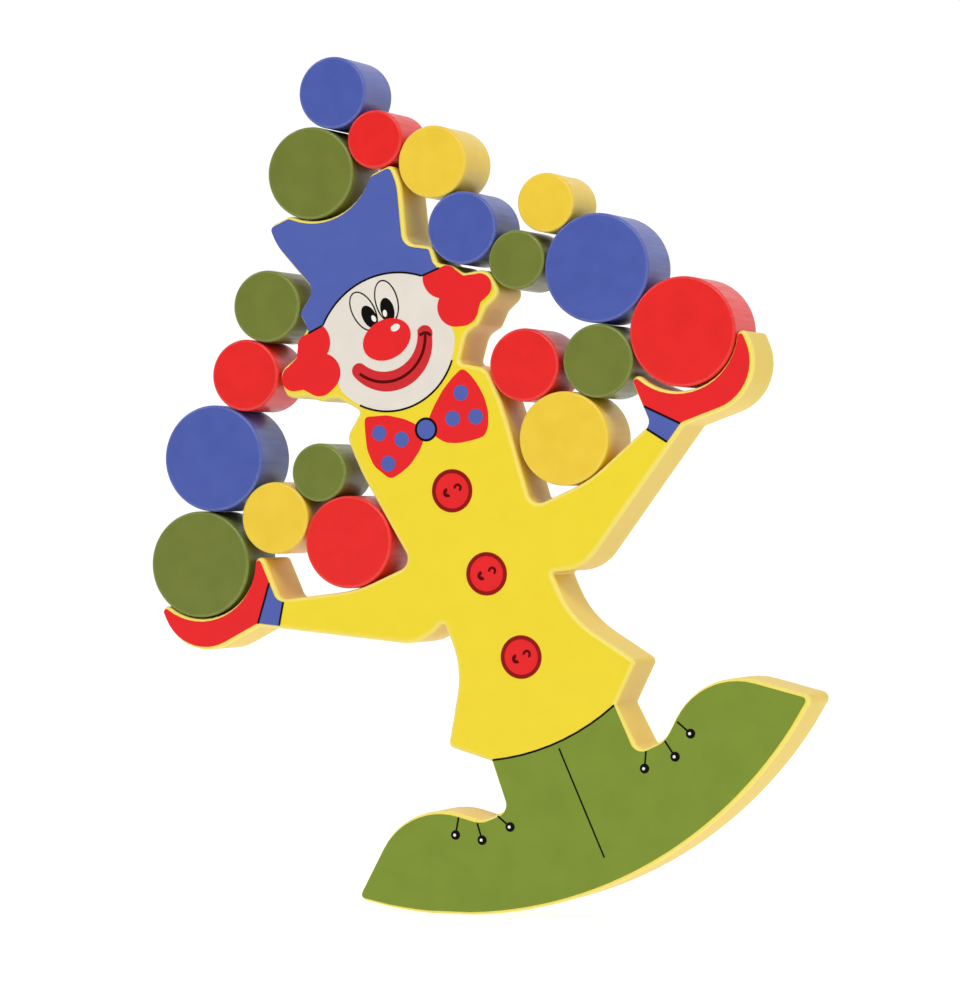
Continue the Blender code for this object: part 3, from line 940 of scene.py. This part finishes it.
@dataclass
class HandPrint:
    """A glove and its cuff, printed on one hand."""

    board: ClownBoard
    hand: Hand
    line: float = 0.7
    # How far past its ends a cuff's line may reach for the board's edge.
    search: float = 4.0

    def build(self) -> None:
        """Prints the glove, the cuff and the cuff's lines."""
        hand = self.hand
        glove = InkSheet(hand.name + "_glove_print", RED_INK, InkLayer.GROUND, self.board)
        glove.cut_out((hand.glove_cut,), hand.palm)
        glove.printed()
        wrist = (Vector(hand.glove_cut.start) + Vector(hand.sleeve_cut.end)) / 2
        cuff = InkSheet(hand.name + "_cuff_print", BLUE_INK, InkLayer.GROUND, self.board)
        cuff.cut_out((hand.glove_cut.turned(), hand.sleeve_cut), (wrist.x, wrist.y))
        cuff.printed()
        lines = InkSheet(hand.name + "_cuff_lines_print", BLACK_INK, InkLayer.LINE, self.board)
        for cut in (hand.glove_cut, hand.sleeve_cut):
            start, end = self.edge_points(cut)
            lines.stroke(start, end, self.line)
        lines.printed()

    def edge_points(self, cut: Cut) -> list[Point]:
        """Finds where a cut's line, made a little longer, meets the edge of the board's printed side.

        Args:
            cut: The cut.

        Returns:
            The two points, at the cut's start and at its end.
        """
        loop = [Vector(point) for point in self.board.face_loop]
        first, last = Vector(cut.start), Vector(cut.end)
        more = (last - first).normalized() * self.search
        sides = zip(loop, loop[1:] + loop[:1])
        met = [intersect_line_line_2d(first - more, last + more, *side) for side in sides]
        found = [point for point in met if point is not None]
        nearest = [min(found, key=lambda point: (point - goal).length) for goal in (first, last)]
        return [(point.x, point.y) for point in nearest]


@dataclass
class TrouserPrint:
    """Trousers and shoes, with the laces and their eyelets."""

    board: ClownBoard
    hem_arc: Arc = Arc((0.1, 128.3), 78.4, 252.8, 287.2)
    hem_foot: float = 52.4
    hem_line: float = 0.65
    crease: tuple[Point, Point] = ((0.0, 48.0), (0.0, 9.2))
    crease_line: float = 0.55
    eyelets: tuple[Point, ...] = (
        (-45.2, 35.8), (-37.2, 30.7), (-26.3, 30.9), (24.6, 30.5), (35.8, 30.0), (43.7, 34.8))
    laces: tuple[Point, ...] = (
        (-41.8, 40.8), (-36.5, 36.5), (-28.9, 35.9), (27.4, 35.6), (34.6, 36.2), (41.0, 40.2))
    lace_line: float = 0.6
    eyelet_radius: float = 1.6
    glint_radius: float = 0.5
    glint_shift: Point = (-0.3, 0.1)

    def build(self) -> None:
        """Prints the green, then the lines, then the eyelets and their glints."""
        cloth = InkSheet("trousers_and_shoes_print", GREEN_INK, InkLayer.GROUND, self.board)
        edge = run_where(self.board.face_loop, lambda point: point[1] < self.hem_foot)
        cloth.patch(closed_by(edge, self.hem_arc.points()))
        cloth.printed()
        lines = InkSheet("trouser_lines_print", BLACK_INK, InkLayer.LINE, self.board)
        lines.band(self.hem_arc, self.hem_line)
        lines.stroke(*self.crease, self.crease_line)
        rings = InkSheet("eyelets_print", BLACK_INK, InkLayer.EYE, self.board)
        glints = InkSheet("eyelet_glints_print", GLINT_INK, InkLayer.PUPIL, self.board)
        aside, up = self.glint_shift
        for eyelet, lace in zip(self.eyelets, self.laces):
            lines.stroke(lace, eyelet, self.lace_line)
            rings.disc(eyelet, self.eyelet_radius, self.eyelet_radius)
            glints.disc((eyelet[0] + aside, eyelet[1] + up), self.glint_radius, self.glint_radius)
        lines.printed()
        rings.printed()
        glints.printed()


@dataclass
class CylinderStack:
    """The loose cylinders, each turned from a dowel with softly rounded rims."""

    paints: dict[str, PaintedWood]
    # Millimetres, for the rim's rounding and the narrow flat beside it, which keeps the end's shading flat.
    edge_round: float = 1.0
    edge_cuts: int = 5
    land: float = 0.5
    sides: int = 96
    pale_rim_share: float = 0.9
    merge: float = 0.005

    def build(self) -> None:
        """Turns and paints every cylinder in place of its solid."""
        for node in sorted(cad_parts):
            if node != FIGURE_NODE:
                self.turn(node, node.split("_")[0])

    def profile(self, radius: float, half_length: float) -> list[Point]:
        """Half section of a cylinder from the middle of one end to the middle of the other.

        Args:
            radius: Its radius in metres.
            half_length: Half its length in metres.

        Returns:
            Distance from the axis and place along it, for each point.
        """
        rim = self.edge_round * MM
        points = [(0.0, -half_length), (radius - rim - self.land * MM, -half_length)]
        for cut in range(self.edge_cuts + 1):
            angle = math.pi / 2 * cut / self.edge_cuts
            points.append((radius - rim + rim * math.sin(angle), -half_length + rim - rim * math.cos(angle)))
        return points + [(out, -along) for out, along in reversed(points)]

    def turn(self, node: str, colour: str) -> None:
        """Turns one cylinder and marks its rims, which are painted paler, part wear and part painted
        highlight.

        Args:
            node: The solid that it stands for.
            colour: Its paint.
        """
        low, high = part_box(node)
        middle = (low + high) / 2
        radius = (high.x - low.x) / 2
        half_length = (high.y - low.y) / 2
        shape = bmesh.new()
        section = self.profile(radius, half_length)
        points = [shape.verts.new((middle.x + out, middle.y + along, middle.z)) for out, along in section]
        edges = [shape.edges.new(pair) for pair in zip(points, points[1:])]
        bmesh.ops.spin(
            shape, geom=points + edges, cent=middle, axis=(0.0, 1.0, 0.0), angle=math.tau, steps=self.sides,
            use_merge=True)
        bmesh.ops.remove_doubles(shape, verts=list(shape.verts), dist=self.merge * MM)
        bmesh.ops.recalc_face_normals(shape, faces=list(shape.faces))
        # The rims are marked for a paler colour, part wear and part painted highlight.
        pale_rim = self.pale_rim_share * self.edge_round * MM
        rim = shape.verts.layers.float.new("rim")
        for vertex in shape.verts:
            inward = radius - math.hypot(vertex.co.x - middle.x, vertex.co.z - middle.z)
            inside = half_length - abs(vertex.co.y - middle.y)
            vertex[rim] = 1.0 if max(inward, inside) < pale_rim else 0.0
        piece = add_piece(node + "_turned", shape, self.paints[colour].material(), node)
        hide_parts(node)
        smoothed(piece)


@dataclass(frozen=True)
class SoftLight:
    """A soft box of the studio, in metres and watts, which points at the middle of the object."""

    name: str
    place: Place
    width: float
    height: float
    power: float
    target: Place = (0.0, 0.0, 0.13)

    def build(self) -> None:
        """Hangs the light and points it at its target."""
        lamp = bpy.data.lights.new(self.name, "AREA")
        lamp.shape = "RECTANGLE"
        lamp.size = self.width
        lamp.size_y = self.height
        lamp.energy = self.power
        light = bpy.data.objects.new(self.name, lamp)
        light.location = self.place
        aim = Vector(self.target) - Vector(self.place)
        light.rotation_euler = aim.to_track_quat("-Z", "Y").to_euler()
        bpy.context.scene.collection.objects.link(light)


@dataclass
class Studio:
    """White acrylic lit from behind, soft light and the camera at the photograph's angle, in metres."""

    sweep_width: float = 24.0
    sweep_front: float = -12.0
    sweep_back: float = 3.0
    sweep_top: float = 8.0
    sweep_bend: float = 1.6
    bend_cuts: int = 24
    floor_gap: float = 0.0004
    floor_colour: str = "9C9C9C"
    floor_roughness: float = 0.9
    floor_shine: float = 0.1
    # The sheet glows less in front of the object and to its right, because the glossy paint mirrors those
    # parts and its colours have to stay deep. The second fade runs along brighter_way.
    glow_colour: str = "FFFFFF"
    glow: float = 0.86
    dim_glow: float = 0.42
    front_fade: tuple[float, float] = (-1.8, -0.25)
    right_fade: tuple[float, float] = (-1.0, -0.2)
    brighter_way: Place = (-0.866, 0.5, 0.0)
    sky_colour: str = "FFFFFF"
    sky_strength: float = 0.25
    camera_place: Place = (0.4828, -1.2509, 0.1371)
    camera_target: Place = (0.0102, -0.012, 0.13705)
    camera_clip: tuple[float, float] = (0.05, 20.0)
    # Millimetres.
    lens: float = 144.4
    sensor: float = 36.0
    lights: tuple[SoftLight, ...] = (
        SoftLight("front_softbox", (0.45, -1.25, 1.5), 0.9, 0.7, 14.6),
        SoftLight("left_softbox", (-1.5, -0.6, 1.5), 0.8, 0.8, 8.0),
        SoftLight("right_softbox", (1.25, -0.45, 1.35), 0.6, 0.6, 5.0),
        SoftLight("right_strip", (1.58, -0.64, 0.5), 0.12, 1.2, 1.5),
    )

    def build(self) -> None:
        """Sets up the sweep, the light and the camera."""
        self.lay_sweep()
        self.light_sky()
        for light in self.lights:
            light.build()
        self.set_camera()

    def lay_sweep(self) -> None:
        """Lays the floor and bends it up behind the object."""
        shape = bmesh.new()
        half = self.sweep_width / 2
        foot = -self.floor_gap
        path = ((self.sweep_front, foot), (self.sweep_back, foot), (self.sweep_back, self.sweep_top))
        rows = [[shape.verts.new((side * half, depth, height)) for side in (-1, 1)] for depth, height in path]
        for near, far in zip(rows, rows[1:]):
            shape.faces.new((near[0], near[1], far[1], far[0]))
        fold = [edge for edge in shape.edges if not edge.is_boundary]
        bmesh.ops.bevel(
            shape, geom=fold, offset=self.sweep_bend, offset_type="OFFSET", affect="EDGES",
            segments=self.bend_cuts, profile=0.5, material=-1)
        mesh = bpy.data.meshes.new("studio_sweep")
        shape.to_mesh(mesh)
        shape.free()
        for polygon in mesh.polygons:
            polygon.use_smooth = True
        mesh.materials.append(self.acrylic())
        sweep = bpy.data.objects.new("studio_sweep", mesh)
        bpy.context.scene.collection.objects.link(sweep)

    def acrylic(self) -> bpy.types.Material:
        """Builds the sheet's finish: back-lit white acrylic, which the eye sees as a matt pale glow.

        Returns:
            The material.
        """
        made = plain_material("back_lit_white_acrylic")
        tree = made.node_tree
        place = add_node(tree, "ShaderNodeTexCoord", {}).outputs["Object"]
        depth = add_node(tree, "ShaderNodeSeparateXYZ", {0: place}).outputs["Y"]
        aside = add_node(tree, "ShaderNodeVectorMath", {
            0: place, 1: self.brighter_way}, operation="DOT_PRODUCT").outputs["Value"]
        front, right = [
            add_node(tree, "ShaderNodeMapRange", {
                "Value": value, "From Min": fade[0], "From Max": fade[1]},
                interpolation_type="SMOOTHSTEP").outputs[0]
            for value, fade in ((depth, self.front_fade), (aside, self.right_fade))]
        lit = add_node(tree, "ShaderNodeMath", {0: front, 1: right}, operation="MULTIPLY").outputs[0]
        glow = add_node(tree, "ShaderNodeMapRange", {
            "Value": lit, "To Min": self.dim_glow, "To Max": self.glow}).outputs[0]
        connect(tree, tree.nodes[SHADER], {
            "Base Color": linear(self.floor_colour), "Roughness": self.floor_roughness,
            "Specular IOR Level": self.floor_shine, "Emission Color": linear(self.glow_colour),
            "Emission Strength": glow})
        return made

    def light_sky(self) -> None:
        """Surrounds the object with even white light."""
        scene = bpy.context.scene
        scene.world = bpy.data.worlds.new("studio_air")
        scene.world.use_nodes = True
        air = scene.world.node_tree.nodes["Background"]
        air.inputs["Color"].default_value = linear(self.sky_colour)
        air.inputs["Strength"].default_value = self.sky_strength
        scene.view_settings.view_transform = "Standard"

    def set_camera(self) -> None:
        """Places the camera where the photograph was taken from."""
        lens = bpy.data.cameras.new("photo_camera")
        lens.lens = self.lens
        lens.sensor_width = self.sensor
        lens.sensor_fit = "AUTO"
        lens.clip_start, lens.clip_end = self.camera_clip
        camera = bpy.data.objects.new("photo_camera", lens)
        camera.location = self.camera_place
        aim = Vector(self.camera_target) - Vector(self.camera_place)
        camera.rotation_euler = aim.to_track_quat("-Z", "Y").to_euler()
        bpy.context.scene.collection.objects.link(camera)
        bpy.context.scene.camera = camera


def main() -> None:
    """Builds the studio, the board, its prints and the cylinders in order."""
    logging.basicConfig(level=logging.INFO)
    Studio().build()
    board = ClownBoard()
    board.build()
    HeadPrint(board).build()
    FacePrint(board).build()
    CoatPrint(board).build()
    for hand in HANDS:
        HandPrint(board, hand).build()
    TrouserPrint(board).build()
    CylinderStack(DOWEL_PAINTS).build()


if __name__ == "__main__":
    main()
